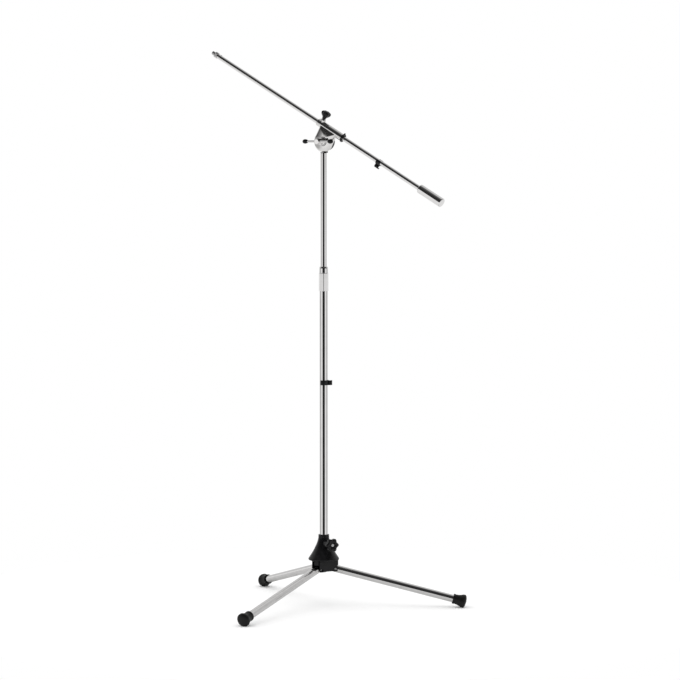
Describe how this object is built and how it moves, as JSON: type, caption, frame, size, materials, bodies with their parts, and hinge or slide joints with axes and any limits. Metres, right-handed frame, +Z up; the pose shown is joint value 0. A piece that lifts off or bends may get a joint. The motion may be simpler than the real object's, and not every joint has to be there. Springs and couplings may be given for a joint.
{
  "type": "boom microphone stand",
  "caption": "Folding tripod microphone stand with a telescoping chrome pole, a twist clutch and a counterweighted boom that tilts and slides.",
  "frame": {"origin": "where the pole's axis meets the floor, midway between the three feet", "axes": "+Z up along the pole; the boom lies in the XZ plane with its threaded tip towards -X and its counterweight towards +X; the boom joint's hinge axis is parallel to Y; one leg points to -Y"},
  "size_m": [0.6872, 0.5484, 1.3902],
  "materials": {
    "bright_chrome": "bright nickel-chrome plate, smooth",
    "plain_steel": "turned steel, fine turning marks",
    "plated_zinc": "plated die casting, slightly soft shine",
    "black_casting": "black powder coat, satin",
    "black_plastic": "moulded black plastic, satin",
    "black_rubber": "moulded black rubber, matte",
    "turned_brass": "turned brass",
    "friction_fibre": "pressed friction fibre, matte"
  },
  "bodies": {
    "base": {"base_hub": "black_casting", "hub_screw": "plain_steel", "pole_foot_plug": "plain_steel", "lower_tube": "bright_chrome", "clutch_core": "plain_steel", "clutch_collet": "black_plastic", "leg_pin_front": "plain_steel", "leg_pin_right": "plain_steel", "leg_pin_left": "plain_steel"},
    "bell": {"base_bell": "black_casting", "clamp_shoe": "turned_brass"},
    "clamp": {"clamp_knob": "black_plastic", "clamp_screw": "plain_steel"},
    "leg_front": {"leg_plug_front": "plated_zinc", "leg_tube_front": "bright_chrome", "foot_front": "black_rubber"},
    "leg_right": {"leg_plug_right": "plated_zinc", "leg_tube_right": "bright_chrome", "foot_right": "black_rubber"},
    "leg_left": {"leg_plug_left": "plated_zinc", "leg_tube_left": "bright_chrome", "foot_left": "black_rubber"},
    "clutch": {"clutch_grip": "bright_chrome", "clutch_nose": "bright_chrome"},
    "tube_clip": {"tube_cable_clip": "black_plastic"},
    "glide": {"tube_glide": "black_plastic"},
    "head": {"upper_tube": "bright_chrome", "joint_horn": "black_casting", "joint_nut": "plain_steel", "friction_washer": "friction_fibre"},
    "cradle": {"boom_cradle": "plated_zinc", "sleeve_liner": "black_plastic"},
    "joint_lock": {"t_screw": "bright_chrome", "t_bar": "bright_chrome", "t_bar_end_left": "black_plastic", "t_bar_end_right": "black_plastic", "joint_thrust_washer": "plain_steel"},
    "thumb_screw": {"thumb_knob": "black_plastic", "thumb_stud": "plain_steel"},
    "boom": {"boom_tube": "bright_chrome", "boom_tip_insert": "plain_steel", "tip_pin": "plain_steel", "counterweight": "bright_chrome", "counterweight_grub": "plain_steel"},
    "tip_ring": {"tip_lock_ring": "bright_chrome"},
    "boom_clip": {"boom_cable_clip": "black_plastic"}
  },
  "joints": [
    {"name": "bell_slide", "type": "slide", "parent": "base", "child": "bell", "axis": [0, 0, 1], "range_m": [0, 0.345]},
    {"name": "leg_fold_front", "type": "hinge", "parent": "base", "child": "leg_front", "pos_m": [0, -0.03, 0.09562], "axis": [-1, 0, 0], "range_deg": [0, 104.5]},
    {"name": "leg_fold_right", "type": "hinge", "parent": "base", "child": "leg_right", "pos_m": [0.02598, 0.015, 0.09562], "axis": [0.5, -0.866, 0], "range_deg": [0, 104.5]},
    {"name": "leg_fold_left", "type": "hinge", "parent": "base", "child": "leg_left", "pos_m": [-0.02598, 0.015, 0.09562], "axis": [0.5, 0.866, 0], "range_deg": [0, 104.5]},
    {"name": "clamp_knob_turn", "type": "hinge", "parent": "bell", "child": "clamp", "pos_m": [0.0381, -0.022, 0.1596], "axis": [0.866, -0.5, 0], "range_deg": [0, 300]},
    {"name": "clutch_turn", "type": "hinge", "parent": "base", "child": "clutch", "pos_m": [0, 0, 0.8132], "axis": [0, 0, 1], "range_deg": [0, 150]},
    {"name": "tube_clip_slide", "type": "slide", "parent": "base", "child": "tube_clip", "axis": [0, 0, 1], "range_m": [-0.02, 0.2]},
    {"name": "tube_extension", "type": "slide", "parent": "base", "child": "glide", "axis": [0, 0, 1], "range_m": [-0.2, 0.29]},
    {"name": "pan", "type": "hinge", "parent": "glide", "child": "head", "pos_m": [0, 0, 1], "axis": [0, 0, 1], "continuous": true},
    {"name": "boom_tilt", "type": "hinge", "parent": "head", "child": "cradle", "pos_m": [0, 0, 1.1622], "axis": [0, 1, 0], "range_deg": [-118.7, 46.3]},
    {"name": "t_screw_turn", "type": "hinge", "parent": "head", "child": "joint_lock", "pos_m": [0, -0.026, 1.1622], "axis": [0, -1, 0], "range_deg": [0, 270]},
    {"name": "thumb_screw_turn", "type": "hinge", "parent": "cradle", "child": "thumb_screw", "pos_m": [-0.01012, 0.0057, 1.20514], "axis": [0.4802, 0, 0.8771], "range_deg": [0, 300]},
    {"name": "boom_slide", "type": "slide", "parent": "cradle", "child": "boom", "axis": [-0.8771, 0, 0.4802], "range_m": [-0.3, 0.06]},
    {"name": "tip_ring_turn", "type": "hinge", "parent": "boom", "child": "tip_ring", "pos_m": [-0.32853, 0.0057, 1.37946], "axis": [-0.8771, 0, 0.4802], "continuous": true},
    {"name": "boom_clip_slide", "type": "slide", "parent": "boom", "child": "boom_clip", "axis": [-0.8771, 0, 0.4802], "range_m": [-0.12, 0.03]}
  ],
  "couplings": [
    {"joint": "leg_fold_front", "follows": "bell_slide", "rad_per_m": 5.2613},
    {"joint": "leg_fold_right", "follows": "bell_slide", "rad_per_m": 5.2613},
    {"joint": "leg_fold_left", "follows": "bell_slide", "rad_per_m": 5.2613}
  ]
}
